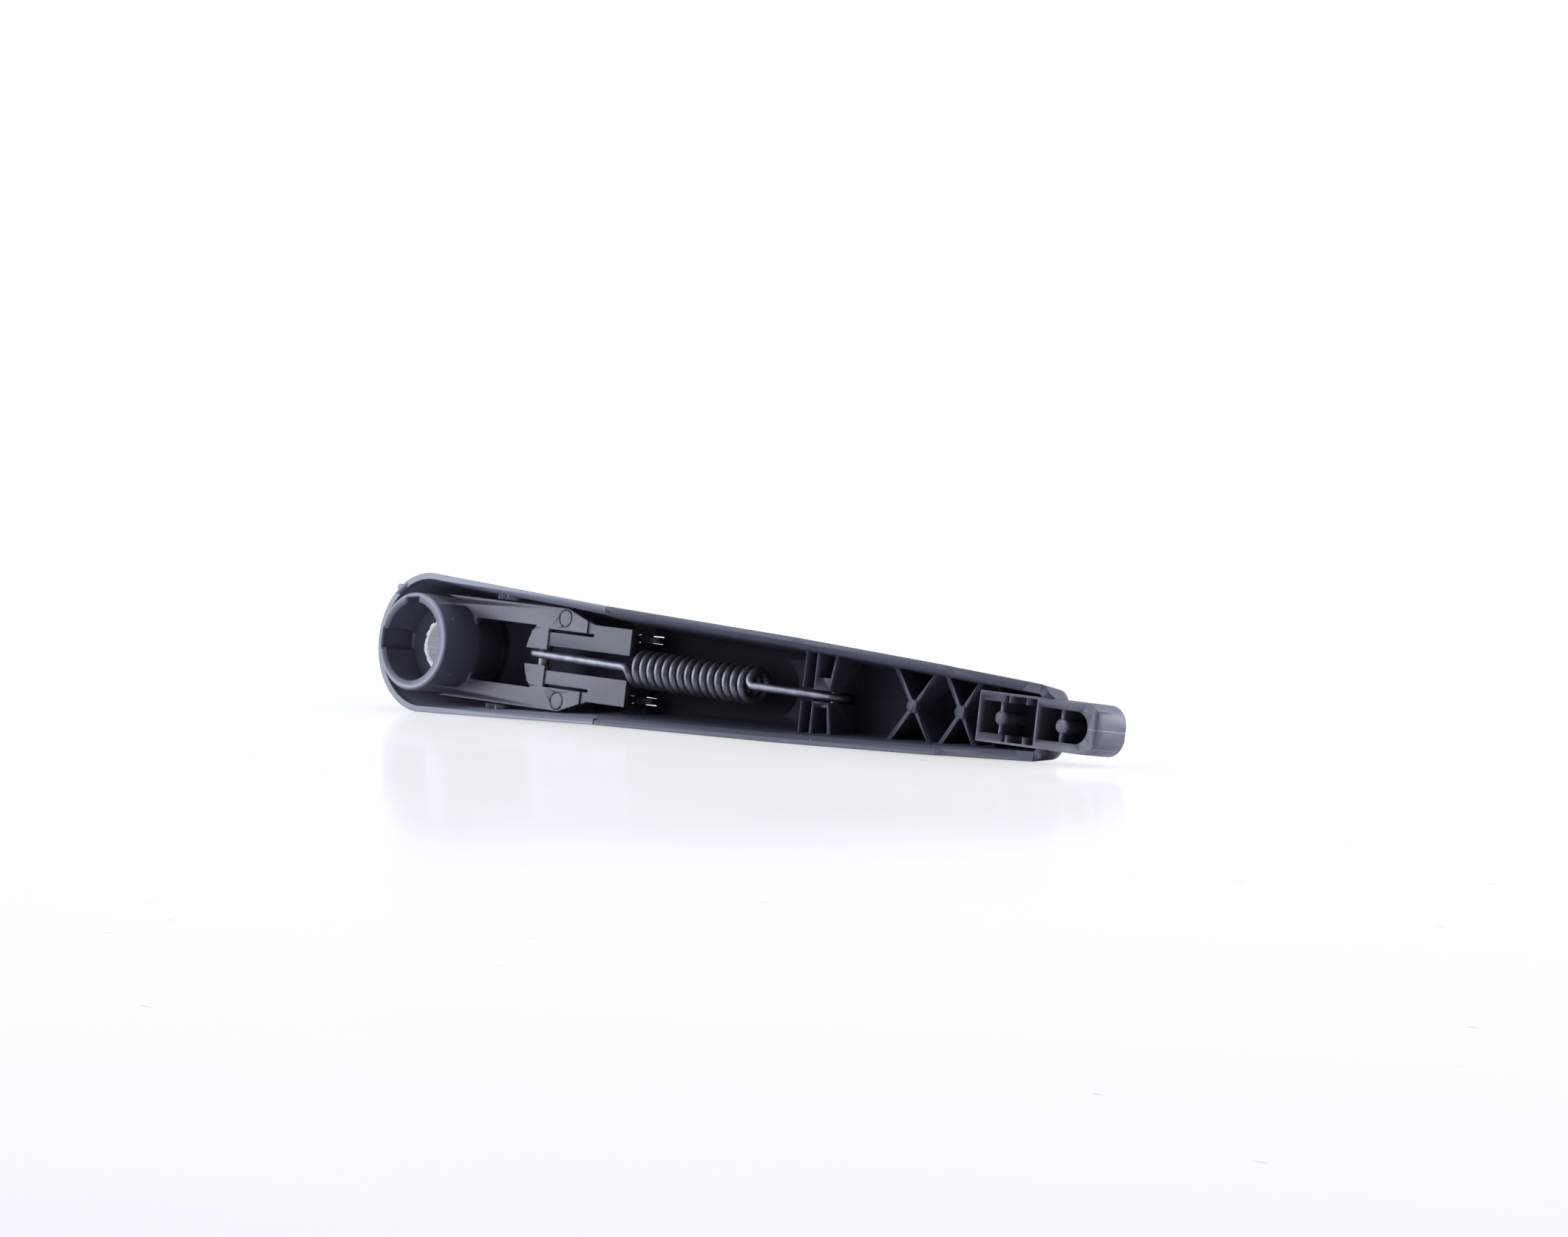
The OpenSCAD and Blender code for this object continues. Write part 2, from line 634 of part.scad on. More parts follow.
// Room round the hinge pin for the head's cheeks and the cap's ears
module hinge_clearance() {
    swing_r = knuckle_r + ear_gap;
    both_sides(0, cheek_w + ear_gap / 2) translate([hinge_at, hinge_y]) circle(r = swing_r, $fn = 48);
    both_sides(cheek_w + ear_gap / 2, lug_w) translate([hinge_at, hinge_y]) {
        circle(r = ear_r + ear_gap, $fn = 64);
        translate([-beyond, -beyond]) square([beyond, 3 * beyond]);
    }
    translate([hinge_at - beyond, -beyond, -lug_w + ear_gap])
        cube([beyond - knuckle_r, 3 * beyond, 2 * (lug_w - ear_gap)]);
    translate([hinge_at - beyond, -beyond, -lug_w + ear_gap])
        cube([beyond, beyond + hinge_y + swing_r, 2 * (lug_w - ear_gap)]);
}

// Steel pin that the arm and the cap turn on
module hinge_pin() color([0.7, 0.7, 0.72]) from_rim() {
    half = arm_start_w - hinge_y * tan(draft) - 0.6;
    cross_pin(hinge_at, hinge_y, hinge_pin_r, -half, half);
}

// Steel pin in the head that the spring hooks on
module hook_pin() color([0.7, 0.7, 0.72]) from_rim() {
    cross_pin(hook_pin_at, head_pin_y, spring_pin_r, -cheek_w, cheek_w);
}

// Steel pin in the arm's anchor ribs that the spring hooks on
module anchor_pin() color([0.7, 0.7, 0.72]) from_rim() {
    cross_pin(anchor_pin_at, spring_pin_y, spring_pin_r, -anchor_pin_w, anchor_pin_w);
}

// Centre line of the spring: hook round the head's pin, coil, hook round the arm's pin
function side_at(u) =
    hook_side + (anchor_side - hook_side) * (u - hook_pin_at) / (anchor_pin_at - hook_pin_at);
function hook_points(at, depth, side, from, to, steps) =
    [for (i = [0:steps]) let (a = from + (to - from) * i / steps)
        [at + hook_loop_r * cos(a), depth + hook_loop_r * sin(a), side]];
coil_r = coil_d / 2 - wire_r;
bend_angle = acos(wire_bend_r / coil_r);
coil_from = -bend_angle;
coil_to = 360 * coil_turns - 180 + bend_angle;
coil_steps = ceil((coil_to - coil_from) / 360 * turn_rings);
function coil_points() =
    [for (i = [0:coil_steps])
        let (f = i / coil_steps, a = coil_from + (coil_to - coil_from) * f,
             u = coil_start + (coil_end - coil_start) * f)
        [u, spring_y + coil_r * sin(a), side_at(u) - coil_r * cos(a)]];

// Bend on the coil's open side, from the straight wire at angle 0 to the coil at angle 90
function bend_point(u, turn, a) =
    let (drop = wire_bend_r * (1 - cos(a)))
    [u + turn * wire_bend_r * (sin(a) - 1), spring_y - sqrt(coil_r * coil_r - drop * drop),
     side_at(u) - turn * drop];
spring_line = concat(
    hook_points(hook_pin_at, head_pin_y, hook_side, 270 - hook_turn, 270, 9),
    [for (a = [0:22.5:67.5]) bend_point(coil_start, 1, a)],
    coil_points(),
    [for (a = [67.5:-22.5:0]) bend_point(coil_end, -1, a)],
    hook_points(anchor_pin_at, spring_pin_y, anchor_side, 270, 270 + hook_turn, 9));

function unit(v) = v / norm(v);
function line_dir(p, i) = unit(p[min(i + 1, len(p) - 1)] - p[max(i - 1, 0)]);

// Side direction carried along the line, kept square to it
function carried(p, i, side) =
    i == len(p) ? [] :
    let (d = line_dir(p, i), s = unit(side - d * (side * d)))
    concat([[s, cross(d, s)]], carried(p, i + 1, s));

// Round tube along a line of points, closed at both ends
module tube(p, r, sides) {
    frames = carried(p, 0, [0, 0, 1]);
    rings = [for (i = [0:len(p) - 1], k = [0:sides - 1])
        let (a = 360 * k / sides) p[i] + r * (cos(a) * frames[i][0] + sin(a) * frames[i][1])];
    walls = [for (i = [0:len(p) - 2], k = [0:sides - 1])
        let (a = i * sides + k, b = i * sides + (k + 1) % sides)
        each [[a, b, b + sides], [a, b + sides, a + sides]]];
    last = (len(p) - 1) * sides;
    ends = [[for (k = [sides - 1:-1:0]) k], [for (k = [0:sides - 1]) last + k]];
    polyhedron(points = rings, faces = concat(walls, ends));
}

// Tension spring, one wire: coil with a hook at each end
module tension_spring() color([0.42, 0.42, 0.42]) from_rim() tube(spring_line, wire_r, wire_sides);

// Plan of the adapter with its rounded nose, drawn as [along, across]
module adapter_plan() {
    translate([adapter_start, -adapter_w]) square([adapter_len - nose_r, 2 * adapter_w]);
    translate([adapter_end - nose_r - 1, -adapter_w + nose_r]) square([nose_r + 1, 2 * (adapter_w - nose_r)]);
    for (side = [-1, 1])
        translate([adapter_end - nose_r, side * (adapter_w - nose_r)]) circle(r = nose_r, $fn = 64);
}

// Blade adapter: a tongue with open pockets, side notches and a rounded nose
module blade_adapter() color([0.3, 0.3, 0.33]) from_rim() {
    floor_y = adapter_y + pocket_depth;
    difference() {
        along_y(adapter_y, adapter_y + adapter_t) adapter_plan();
        along_y(adapter_y - 1, floor_y) adapter_pockets();
        along_y(adapter_y - 1, adapter_y + notch_depth) side_notches();
        both_sides(0, 2 * adapter_w) nose_round();
    }
    difference() {
        for (at = divider_at) along_y(adapter_y + 0.25, floor_y + tiny)
            translate([at - divider_t / 2, -pocket_w - tiny]) square([divider_t, 2 * pocket_w + 2 * tiny]);
        along_y(adapter_y - 1, adapter_y + notch_depth) side_notches();
    }
    post(divider_at[0], 0, divider_boss_r, adapter_y, floor_y + tiny);
    translate([divider_at[1], floor_y + tiny, 0]) rotate([90, 0, 0])
        cylinder(r1 = divider_boss_r + 0.7, r2 = divider_boss_r, h = pocket_depth, $fn = 48);
}

// What the rounded edge takes off the nose, drawn as [along, depth]
module nose_round() {
    difference() {
        translate([adapter_end - nose_edge, adapter_y - 1]) square([nose_edge + 1, nose_edge + 1]);
        translate([adapter_end - nose_edge, adapter_y + nose_edge]) circle(r = nose_edge, $fn = 64);
    }
}

// Open pockets in the adapter's face, drawn as [along, across]
module adapter_pockets() {
    last = pocket_wall + divider_t;
    translate([adapter_start + divider_t, -pocket_w])
        square([pocket_wall_at - divider_t, 2 * pocket_w]);
    translate([last, -pocket_w]) square([pocket_end - pocket_w - last, 2 * pocket_w]);
    translate([pocket_end - pocket_w, 0]) circle(r = pocket_w, $fn = 64);
}

// Shallow notches beside the middle pocket, with two thin ribs left in each
module side_notches() {
    from = adapter_start + notch_at;
    len = pocket_wall - from;
    for (side = [-1, 1], span = [[0, 0.14], [0.24, 0.67], [0.77, 1]])
        translate([from + span[0] * len, side > 0 ? pocket_w - tiny : -adapter_w + notch_wall])
            square([(span[1] - span[0]) * len, adapter_w - notch_wall - pocket_w + tiny]);
}

cover_cap();
arm_head();
spindle_insert();
arm_shell();
hinge_pin();
hook_pin();
anchor_pin();
tension_spring();
blade_adapter();
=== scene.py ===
import math
import random

import bmesh
import bpy
from mathutils import Matrix, Vector


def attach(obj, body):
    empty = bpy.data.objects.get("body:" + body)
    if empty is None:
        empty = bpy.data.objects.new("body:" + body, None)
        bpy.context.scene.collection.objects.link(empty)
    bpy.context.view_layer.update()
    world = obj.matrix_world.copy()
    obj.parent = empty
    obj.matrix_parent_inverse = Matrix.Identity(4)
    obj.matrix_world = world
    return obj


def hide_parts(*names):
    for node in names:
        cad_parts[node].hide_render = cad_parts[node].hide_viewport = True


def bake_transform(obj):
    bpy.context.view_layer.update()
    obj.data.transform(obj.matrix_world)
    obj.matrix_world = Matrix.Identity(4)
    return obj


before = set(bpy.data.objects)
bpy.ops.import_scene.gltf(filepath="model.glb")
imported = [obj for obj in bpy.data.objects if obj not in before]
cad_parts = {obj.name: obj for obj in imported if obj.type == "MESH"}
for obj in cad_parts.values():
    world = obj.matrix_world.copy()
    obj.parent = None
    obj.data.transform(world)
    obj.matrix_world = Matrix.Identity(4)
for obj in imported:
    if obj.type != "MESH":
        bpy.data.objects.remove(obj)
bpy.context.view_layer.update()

# Arm head
# One stiff moulding: the collar over the spindle, the plate with its window, and the cheeks
# under it. Its faces are finely grained, and its edges are slightly rounded by the mould. Its
# deep faces are darkened by painted shade, and the ring at the collar's mouth is made paler as a
# painted highlight.

MM = 0.001
DUST_COLOR = (0.55, 0.56, 0.6)
EDGE_RADIUS = 0.25 * MM
EDGE_SAMPLES = 6
GRAIN_DEPTH = 0.12 * MM
# By the Y of its normal, a face is the crown's inner side up to CROWN_FULL, a wall from
# CROWN_NONE on, and an outer face past OUTWARD.
CROWN_FULL, CROWN_NONE = -0.6, -0.2
OUTWARD = 0.06
# Inner walls take a share of the painted shade of the deep faces. The crown's inner side takes all
# of it, and it is also rougher and less shiny. NOWHERE is a distance from the hub that no piece
# reaches.
WALL_SHADE_SHARE = 0.85
DEEP_DULL = 0.3
DEEP_SPECULAR = 0.04
NOWHERE = 9.0
SEAM_HALF = 0.07 * MM
SEAM_PALE = 0.6
DOUBLES = 0.002 * MM
SHARP_DEGREES = 34
EVEN_WEIGHT = 60


def noise_node(tree, scale, detail=3.0, roughness=0.5, stretch=(1, 1, 1)):
    coords = tree.nodes.new("ShaderNodeTexCoord")
    mapping = tree.nodes.new("ShaderNodeMapping")
    mapping.inputs["Scale"].default_value = stretch
    noise = tree.nodes.new("ShaderNodeTexNoise")
    noise.inputs["Scale"].default_value = scale
    noise.inputs["Detail"].default_value = detail
    noise.inputs["Roughness"].default_value = roughness
    tree.links.new(coords.outputs["Object"], mapping.inputs["Vector"])
    tree.links.new(mapping.outputs["Vector"], noise.inputs["Vector"])
    return noise


def feed(tree, socket, value):
    if isinstance(value, (int, float)):
        socket.default_value = value
    else:
        tree.links.new(value, socket)


def spread(tree, value, low, high, to_low, to_high):
    node = tree.nodes.new("ShaderNodeMapRange")
    for socket, bound in zip(list(node.inputs)[1:5], (low, high, to_low, to_high)):
        feed(tree, socket, bound)
    tree.links.new(value, node.inputs["Value"])
    return node.outputs["Result"]


def arithmetic(tree, operation, a, b):
    node = tree.nodes.new("ShaderNodeMath")
    node.operation = operation
    for socket, value in zip(node.inputs, (a, b)):
        feed(tree, socket, value)
    return node.outputs["Value"]


def blend_colors(tree, share, a, b):
    mix = tree.nodes.new("ShaderNodeMix")
    mix.data_type = "RGBA"
    feed(tree, mix.inputs[0], share)
    for socket, color in ((mix.inputs[6], a), (mix.inputs[7], b)):
        if isinstance(color, tuple):
            socket.default_value = (*color, 1)
        else:
            tree.links.new(color, socket)
    return mix.outputs[2]


def new_group(name, inputs, outputs):
    group = bpy.data.node_groups.new(name, "ShaderNodeTree")
    for label, value in inputs:
        kind = "NodeSocketColor" if isinstance(value, tuple) else "NodeSocketFloat"
        socket = group.interface.new_socket(label, in_out="INPUT", socket_type=kind)
        socket.default_value = (*value, 1) if isinstance(value, tuple) else value
    for label, kind in outputs:
        group.interface.new_socket(label, in_out="OUTPUT", socket_type=kind)
    return group, group.nodes.new("NodeGroupInput"), group.nodes.new("NodeGroupOutput")


def mould_grain_group():
    """Fine spark-eroded grain, faint flow marks and specks of dust, for every plastic."""
    group, inside, out = new_group(
        "mould grain",
        (("Light", (0.05, 0.05, 0.06)), ("Dark", (0.02, 0.02, 0.025)), ("Gloss Low", 0.35),
         ("Gloss High", 0.5), ("Dust", 0.5)),
        (("Color", "NodeSocketColor"), ("Roughness", "NodeSocketFloat"),
         ("Height", "NodeSocketFloat")))
    fine = noise_node(group, 2600.0, 4.0, 0.6)
    speck = noise_node(group, 900.0, 2.0, 0.5)
    flow = noise_node(group, 55.0, 3.0, 0.55, (0.35, 1.0, 1.0))
    shade = arithmetic(group, "ADD", spread(group, flow.outputs["Fac"], 0.3, 0.7, 0.0, 0.65),
                       spread(group, speck.outputs["Fac"], 0.35, 0.75, 0.0, 0.35))
    body = blend_colors(group, shade, inside.outputs["Dark"], inside.outputs["Light"])
    motes = group.nodes.new("ShaderNodeTexVoronoi")
    motes.inputs["Scale"].default_value = 260.0
    coords = group.nodes.new("ShaderNodeTexCoord")
    group.links.new(coords.outputs["Object"], motes.inputs["Vector"])
    rare = spread(group, motes.outputs["Distance"], 0.035, 0.05, 1.0, 0.0)
    dust = arithmetic(group, "MULTIPLY", rare, inside.outputs["Dust"])
    group.links.new(blend_colors(group, dust, body, DUST_COLOR), out.inputs["Color"])
    group.links.new(spread(group, flow.outputs["Fac"], 0.3, 0.7, inside.outputs["Gloss Low"],
                           inside.outputs["Gloss High"]), out.inputs["Roughness"])
    height = arithmetic(group, "ADD", arithmetic(group, "MULTIPLY", fine.outputs["Fac"], 0.6),
                        arithmetic(group, "MULTIPLY", speck.outputs["Fac"], 0.4))
    group.links.new(height, out.inputs["Height"])
    return group


def rounded_edge_group():
    """Small radius on every edge, and a ragged mask that follows the edges where they shine."""
    group, inside, out = new_group(
        "rounded edge", (("Radius", EDGE_RADIUS), ("Wear", 0.5)),
        (("Normal", "NodeSocketVector"), ("Mask", "NodeSocketFloat")))
    edge = group.nodes.new("ShaderNodeBevel")
    edge.samples = EDGE_SAMPLES
    group.links.new(inside.outputs["Radius"], edge.inputs["Radius"])
    plain = group.nodes.new("ShaderNodeNewGeometry")
    angle = group.nodes.new("ShaderNodeVectorMath")
    angle.operation = "DOT_PRODUCT"
    group.links.new(edge.outputs["Normal"], angle.inputs[0])
    group.links.new(plain.outputs["Normal"], angle.inputs[1])
    near = spread(group, angle.outputs["Value"], 0.99, 0.88, 0.0, 1.0)
    ragged = noise_node(group, 420.0, 4.0, 0.7)
    torn = spread(group, ragged.outputs["Fac"], 0.42, 0.62, 0.15, 1.0)
    wear = arithmetic(group, "MULTIPLY", arithmetic(group, "MULTIPLY", near, torn),
                      inside.outputs["Wear"])
    group.links.new(wear, out.inputs["Mask"])
    group.links.new(edge.outputs["Normal"], out.inputs["Normal"])
    return group


mould_grain = mould_grain_group()
rounded_edge = rounded_edge_group()


def plastic(name, light, dark, gloss, worn, deep_shade, wear, radius=EDGE_RADIUS, bump=0.12,
            specular=0.5, rim_sheen=None, seam=None, painted_wall_tone=None):
    """Satin moulded plastic: fine grain, soft lighter edges, and deep faces that are rougher and
    darkened by painted shade.

    deep_shade is (level where the open side ends, level where the deep faces start, the colour
    of their painted shade, and the distance from the hub past which all faces are open).
    rim_sheen is (level of the rim, level where its painted sheen ends, the sheen's paler colour).
    seam is where the parting line starts. painted_wall_tone is the painted light or shade on the
    inner walls where it differs from the deep faces."""
    material = bpy.data.materials.new(name)
    material.use_nodes = True
    tree = material.node_tree
    shader = tree.nodes["Principled BSDF"]
    grains = tree.nodes.new("ShaderNodeGroup")
    grains.node_tree = mould_grain
    grains.inputs["Light"].default_value = (*light, 1)
    grains.inputs["Dark"].default_value = (*dark, 1)
    grains.inputs["Gloss Low"].default_value = gloss[0]
    grains.inputs["Gloss High"].default_value = gloss[1]
    edges = tree.nodes.new("ShaderNodeGroup")
    edges.node_tree = rounded_edge
    edges.inputs["Radius"].default_value = radius
    edges.inputs["Wear"].default_value = wear
    relief = tree.nodes.new("ShaderNodeBump")
    relief.inputs["Strength"].default_value = bump
    relief.inputs["Distance"].default_value = GRAIN_DEPTH
    coords = tree.nodes.new("ShaderNodeTexCoord")
    place = tree.nodes.new("ShaderNodeSeparateXYZ")
    tree.links.new(coords.outputs["Object"], place.inputs["Vector"])
    facing = tree.nodes.new("ShaderNodeSeparateXYZ")
    tree.links.new(coords.outputs["Normal"], facing.inputs["Vector"])
    # Painted shade: faces sunk deeper than the open side, and nearer the hub than the given
    # distance, are darkened towards the shade colour, fully on the crown's inner side and mostly on
    # the inner walls, which may take a painted tone of their own.
    open_level, deep_level, shade_color, open_past = deep_shade
    sunk = arithmetic(tree, "MULTIPLY",
                      spread(tree, place.outputs["Y"], open_level, deep_level, 0.0, 1.0),
                      arithmetic(tree, "LESS_THAN", place.outputs["X"], open_past))
    crown = spread(tree, facing.outputs["Y"], CROWN_FULL, CROWN_NONE, 1.0, 0.0)
    inward = arithmetic(tree, "MULTIPLY", spread(tree, crown, 0.0, 1.0, WALL_SHADE_SHARE, 1.0),
                        arithmetic(tree, "LESS_THAN", facing.outputs["Y"], OUTWARD))
    unshaded = arithmetic(tree, "SUBTRACT", 1.0, arithmetic(tree, "MULTIPLY", sunk, inward))
    bottom = arithmetic(tree, "MULTIPLY", sunk, crown)
    inner_shade = blend_colors(tree, crown, painted_wall_tone or shade_color, shade_color)
    faces = blend_colors(tree, unshaded, inner_shade, grains.outputs["Color"])
    # Painted sheen: faces out at the rim, up to the given level, are blended to a paler colour that
    # stands in for the light they catch.
    if rim_sheen:
        rim_level, sheen_end, sheen_color = rim_sheen
        sheen_share = spread(tree, place.outputs["Y"], rim_level, sheen_end, 1.0, 0.0)
        faces = blend_colors(tree, sheen_share, faces, sheen_color)
    # Edge paling is weakened to a quarter where the painted shade is full.
    pale = arithmetic(tree, "MULTIPLY", edges.outputs["Mask"],
                      spread(tree, unshaded, 0.0, 1.0, 0.25, 1.0))
    if seam:
        off_line = arithmetic(tree, "ABSOLUTE", place.outputs["Z"], 0.0)
        line = arithmetic(tree, "MULTIPLY",
                          spread(tree, off_line, SEAM_HALF, 2 * SEAM_HALF, SEAM_PALE, 0.0),
                          arithmetic(tree, "GREATER_THAN", place.outputs["X"], seam))
        pale = arithmetic(tree, "MAXIMUM", pale, line)
    color = blend_colors(tree, pale, faces, worn)
    tree.links.new(color, shader.inputs["Base Color"])
    tree.links.new(spread(tree, bottom, 0.0, 1.0, specular, DEEP_SPECULAR),
                   shader.inputs["Specular IOR Level"])
    dull = spread(tree, bottom, 0.0, 1.0, 0.0, DEEP_DULL)
    tree.links.new(arithmetic(tree, "ADD", grains.outputs["Roughness"], dull),
                   shader.inputs["Roughness"])
    tree.links.new(grains.outputs["Height"], relief.inputs["Height"])
    tree.links.new(edges.outputs["Normal"], relief.inputs["Normal"])
    tree.links.new(relief.outputs["Normal"], shader.inputs["Normal"])
    return material


def smooth_moulding(node, name, body, material):
    """Copy of a moulding with its doubles merged, shaded smooth up to its sharp edges."""
    bm = bmesh.new()
    bm.from_mesh(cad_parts[node].data)
    bmesh.ops.remove_doubles(bm, verts=bm.verts, dist=DOUBLES)
    for face in bm.faces:
        face.smooth = True
    mesh = bpy.data.meshes.new(name)
    bm.to_mesh(mesh)
    bm.free()
    mesh.set_sharp_from_angle(angle=math.radians(SHARP_DEGREES))
    mesh.materials.append(material)
    piece = bpy.data.objects.new(name, mesh)
    bpy.context.scene.collection.objects.link(piece)
    even = piece.modifiers.new("even normals", "WEIGHTED_NORMAL")
    even.keep_sharp = True
    even.weight = EVEN_WEIGHT
    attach(piece, body)
    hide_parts(node)


head_plastic = plastic("head plastic", light=(0.050, 0.053, 0.080), dark=(0.036, 0.038, 0.058),
                       gloss=(0.37, 0.48), worn=(0.11, 0.116, 0.16),
                       deep_shade=(-3.4 * MM, -2.0 * MM, (0.018, 0.019, 0.028), NOWHERE), wear=0.3,
                       rim_sheen=(-14.2 * MM, -13.9 * MM, (0.14, 0.145, 0.19)))
smooth_moulding("arm_head", "head_moulding", "head", head_plastic)

# Spindle insert
# The bush that seats on the spindle, turned from bright steel and moulded into the collar.
# Inside it has fine splines, and a ragged skin of plastic has crept over its face.

BUSH_METAL = 0.15
SPLINE_SCALE = 1500.0
BAND_SCALE = 260.0
SPLINE_DEPTH = 0.1 * MM

bright_steel = bpy.data.materials.new("bright turned steel")
bright_steel.use_nodes = True
tree = bright_steel.node_tree
shader = tree.nodes["Principled BSDF"]
shader.inputs["Metallic"].default_value = BUSH_METAL
splines = noise_node(tree, SPLINE_SCALE, 2.0, 0.5, (1.0, 0.04, 1.0))
bands = noise_node(tree, BAND_SCALE, 2.0, 0.5, (1.0, 0.02, 1.0))
bright = arithmetic(tree, "ADD", arithmetic(tree, "MULTIPLY", splines.outputs["Fac"], 0.45),
                    arithmetic(tree, "MULTIPLY", bands.outputs["Fac"], 0.55))
bright = spread(tree, bright, 0.38, 0.62, 0.0, 1.0)
tree.links.new(blend_colors(tree, bright, (0.70, 0.71, 0.78), (1.0, 1.0, 1.0)),
               shader.inputs["Base Color"])
tree.links.new(spread(tree, bands.outputs["Fac"], 0.3, 0.7, 0.42, 0.6), shader.inputs["Roughness"])
relief = tree.nodes.new("ShaderNodeBump")
relief.inputs["Strength"].default_value = 0.5
relief.inputs["Distance"].default_value = SPLINE_DEPTH
tree.links.new(splines.outputs["Fac"], relief.inputs["Height"])
tree.links.new(relief.outputs["Normal"], shader.inputs["Normal"])
smooth_moulding("spindle_insert", "spindle_bush", "head", bright_steel)

# The skin: a thin washer of head plastic, torn along its inner edge.
FACE_LEVEL = -4.53 * MM
SKIN_THICK = 0.16 * MM
SKIN_OUTER = 9.88 * MM
SKIN_INNER = 6.15 * MM
SKIN_SEGMENTS = 160
# Each step of the torn edge keeps a share of the last step's drift and adds its own.
DRIFT_KEPT = 0.7
TEAR_STEP = (-0.22, 0.3)
bm = bmesh.new()
ring = bmesh.ops.create_circle(bm, cap_ends=False, radius=SKIN_OUTER,
                               segments=SKIN_SEGMENTS)["verts"]
bmesh.ops.extrude_edge_only(bm, edges=bm.edges[:])
torn = [vert for vert in bm.verts if vert not in ring]
chance = random.Random(7)
drift = 0.0
for vert in torn:
    drift = DRIFT_KEPT * drift + chance.uniform(*TEAR_STEP) * MM
    vert.co = vert.co.normalized() * (SKIN_INNER + drift)
spokes = [edge for edge in bm.edges if (edge.verts[0] in ring) != (edge.verts[1] in ring)]
bmesh.ops.subdivide_edges(bm, edges=spokes, cuts=2)
bmesh.ops.rotate(bm, verts=bm.verts, matrix=Matrix.Rotation(math.radians(90), 3, "X"))
bmesh.ops.translate(bm, verts=bm.verts, vec=(0, FACE_LEVEL, 0))
bmesh.ops.recalc_face_normals(bm, faces=bm.faces)
bmesh.ops.solidify(bm, geom=bm.faces[:], thickness=SKIN_THICK)
bmesh.ops.recalc_face_normals(bm, faces=bm.faces)
mesh = bpy.data.meshes.new("plastic_skin")
bm.to_mesh(mesh)
bm.free()
skin_plastic = plastic("torn skin plastic", light=(0.060, 0.063, 0.090),
                       dark=(0.045, 0.047, 0.068), gloss=(0.4, 0.5), worn=(0.2, 0.2, 0.22),
                       deep_shade=(0.0, 1.0, (0.03, 0.03, 0.04), NOWHERE), wear=0.4, radius=0.03 * MM)
mesh.materials.append(skin_plastic)
skin = bpy.data.objects.new("plastic_skin", mesh)
bpy.context.scene.collection.objects.link(skin)
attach(skin, "head")

# Pins
# Three drawn steel pins: the hinge pin through head, cap and arm, and the two that the
# spring hooks on. They are pressed into the mouldings.

METAL = 0.85
DENT_DEPTH = 0.1 * MM


def dull_metal(name, dark, light, gloss, scale):
    """Drawn or plated steel with faint clouds and small dents."""
    material = bpy.data.materials.new(name)
    material.use_nodes = True
    tree = material.node_tree
    shader = tree.nodes["Principled BSDF"]
    shader.inputs["Metallic"].default_value = METAL
    clouds = noise_node(tree, scale, 5.0, 0.65)
    shade = spread(tree, clouds.outputs["Fac"], 0.35, 0.68, 0.0, 1.0)
    tree.links.new(blend_colors(tree, shade, dark, light), shader.inputs["Base Color"])
    tree.links.new(spread(tree, shade, 0.0, 1.0, gloss[0], gloss[1]), shader.inputs["Roughness"])
    dents = tree.nodes.new("ShaderNodeBump")
    dents.inputs["Strength"].default_value = 0.15
    dents.inputs["Distance"].default_value = DENT_DEPTH
    tree.links.new(clouds.outputs["Fac"], dents.inputs["Height"])
    tree.links.new(dents.outputs["Normal"], shader.inputs["Normal"])
    return material


pin_steel = dull_metal("zinc plated pin", dark=(0.12, 0.12, 0.13), light=(0.30, 0.30, 0.32),
                       gloss=(0.4, 0.55), scale=700.0)
for node, name, body in (("hinge_pin", "hinge_rivet", "arm"), ("hook_pin", "head_hook_pin", "head"),
                         ("anchor_pin", "arm_anchor_pin", "arm")):
    smooth_moulding(node, name, body, pin_steel)

# Cover cap
# The flip-up cap over the hub nut, a thin satin black moulding that hinges on the arm's pin.
# Its thick rounded rim carries a painted sheen that makes it paler than its walls. Its inner
# walls are lightened with painted light, and its deep faces darkened with painted shade.

cap_plastic = plastic("cap plastic", light=(0.060, 0.063, 0.092), dark=(0.044, 0.046, 0.068),
                      gloss=(0.42, 0.52), worn=(0.15, 0.155, 0.20),
                      deep_shade=(-9.3 * MM, -8.0 * MM, (0.036, 0.037, 0.052), NOWHERE), wear=0.15,
                      radius=0.4 * MM, rim_sheen=(-9.6 * MM, -8.8 * MM, (0.155, 0.160, 0.21)),
                      painted_wall_tone=(0.22, 0.226, 0.29))
smooth_moulding("cover_cap", "cap_moulding", "cap", cap_plastic)

# Arm shell
# The long channel that carries the blade, moulded in one with its cross wall, anchor ribs and
# crossed ribs. Deep inside it is rougher, and painted shade makes it almost black; its inner walls
# get a lighter painted shade, and its rim a painted sheen that makes it a little paler.

arm_plastic = plastic("arm plastic", light=(0.052, 0.055, 0.081), dark=(0.037, 0.039, 0.058),
                      gloss=(0.38, 0.5), worn=(0.09, 0.095, 0.13),
                      deep_shade=(-4.3 * MM, -3.6 * MM, (0.014, 0.0145, 0.021), NOWHERE), wear=0.4,
                      radius=0.22 * MM, specular=0.22,
                      rim_sheen=(-9.7 * MM, -9.2 * MM, (0.074, 0.077, 0.106)),
                      painted_wall_tone=(0.026, 0.027, 0.038))
smooth_moulding("arm_shell", "arm_moulding", "arm", arm_plastic)

# Tension spring
# One piece of dark drawn wire: a close coil with a hook at each end.

